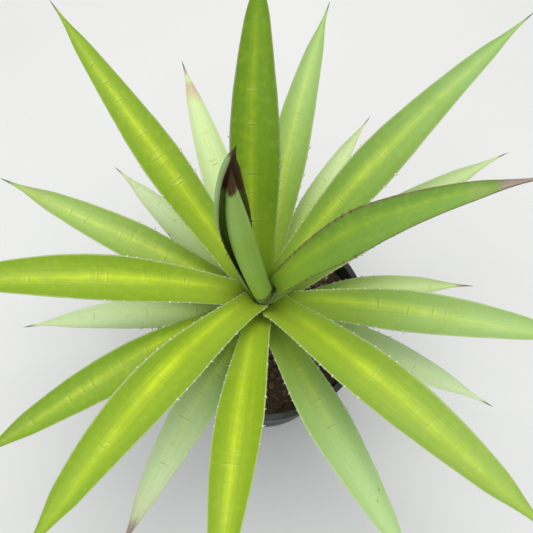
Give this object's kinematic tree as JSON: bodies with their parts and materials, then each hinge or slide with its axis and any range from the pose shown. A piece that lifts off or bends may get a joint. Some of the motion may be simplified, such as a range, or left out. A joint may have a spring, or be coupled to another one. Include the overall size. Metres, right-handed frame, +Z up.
{
  "type": "potted agave",
  "caption": "Potted agave: spiral rosette of channelled sword-shaped leaves with spine tips around a rolled spear leaf, on a short stem in potting mix in a plain round nursery pot.",
  "frame": {"origin": "centre of the pot's underside, on the surface that it stands on", "axes": "+Z up along the pot's axis, +X towards the right of the plant as its maker faces it, +Y away from the maker"},
  "size_m": [0.6087, 0.6139, 0.5191],
  "materials": {
    "pot_plastic": "black moulded plastic, satin, faintly ribbed by the mould and dusty with mix at the rim",
    "potting_mix": "dark brown bark, coir and grit, matte and crumbly",
    "young_leaf": "lime green living leaf with a lemon-yellow midstripe, waxy, horny brown margins",
    "middle_leaf": "mid green living leaf with a yellow-green midstripe, waxy, pale horny margins",
    "old_leaf": "pale mint-green living leaf with a bluish bloom, faint midstripe, white horny margins",
    "stem": "short fleshy stem, pale green above, corky brown below"
  },
  "bodies": {
    "root": {"pot": "pot_plastic", "potting_mix": "potting_mix", "stem": "stem", "spear_leaf": "young_leaf", "leaf_02": "young_leaf", "leaf_03": "young_leaf", "leaf_04": "young_leaf", "leaf_05": "young_leaf", "leaf_06": "young_leaf", "leaf_07": "young_leaf", "leaf_08": "young_leaf", "leaf_09": "young_leaf", "leaf_10": "middle_leaf", "leaf_11": "middle_leaf", "leaf_12": "middle_leaf", "leaf_13": "middle_leaf", "leaf_14": "middle_leaf", "leaf_15": "middle_leaf", "leaf_16": "old_leaf", "leaf_17": "old_leaf", "leaf_18": "old_leaf", "leaf_19": "old_leaf", "leaf_20": "old_leaf", "leaf_21": "old_leaf", "leaf_23": "old_leaf", "leaf_24": "old_leaf"}
  },
  "joints": []
}
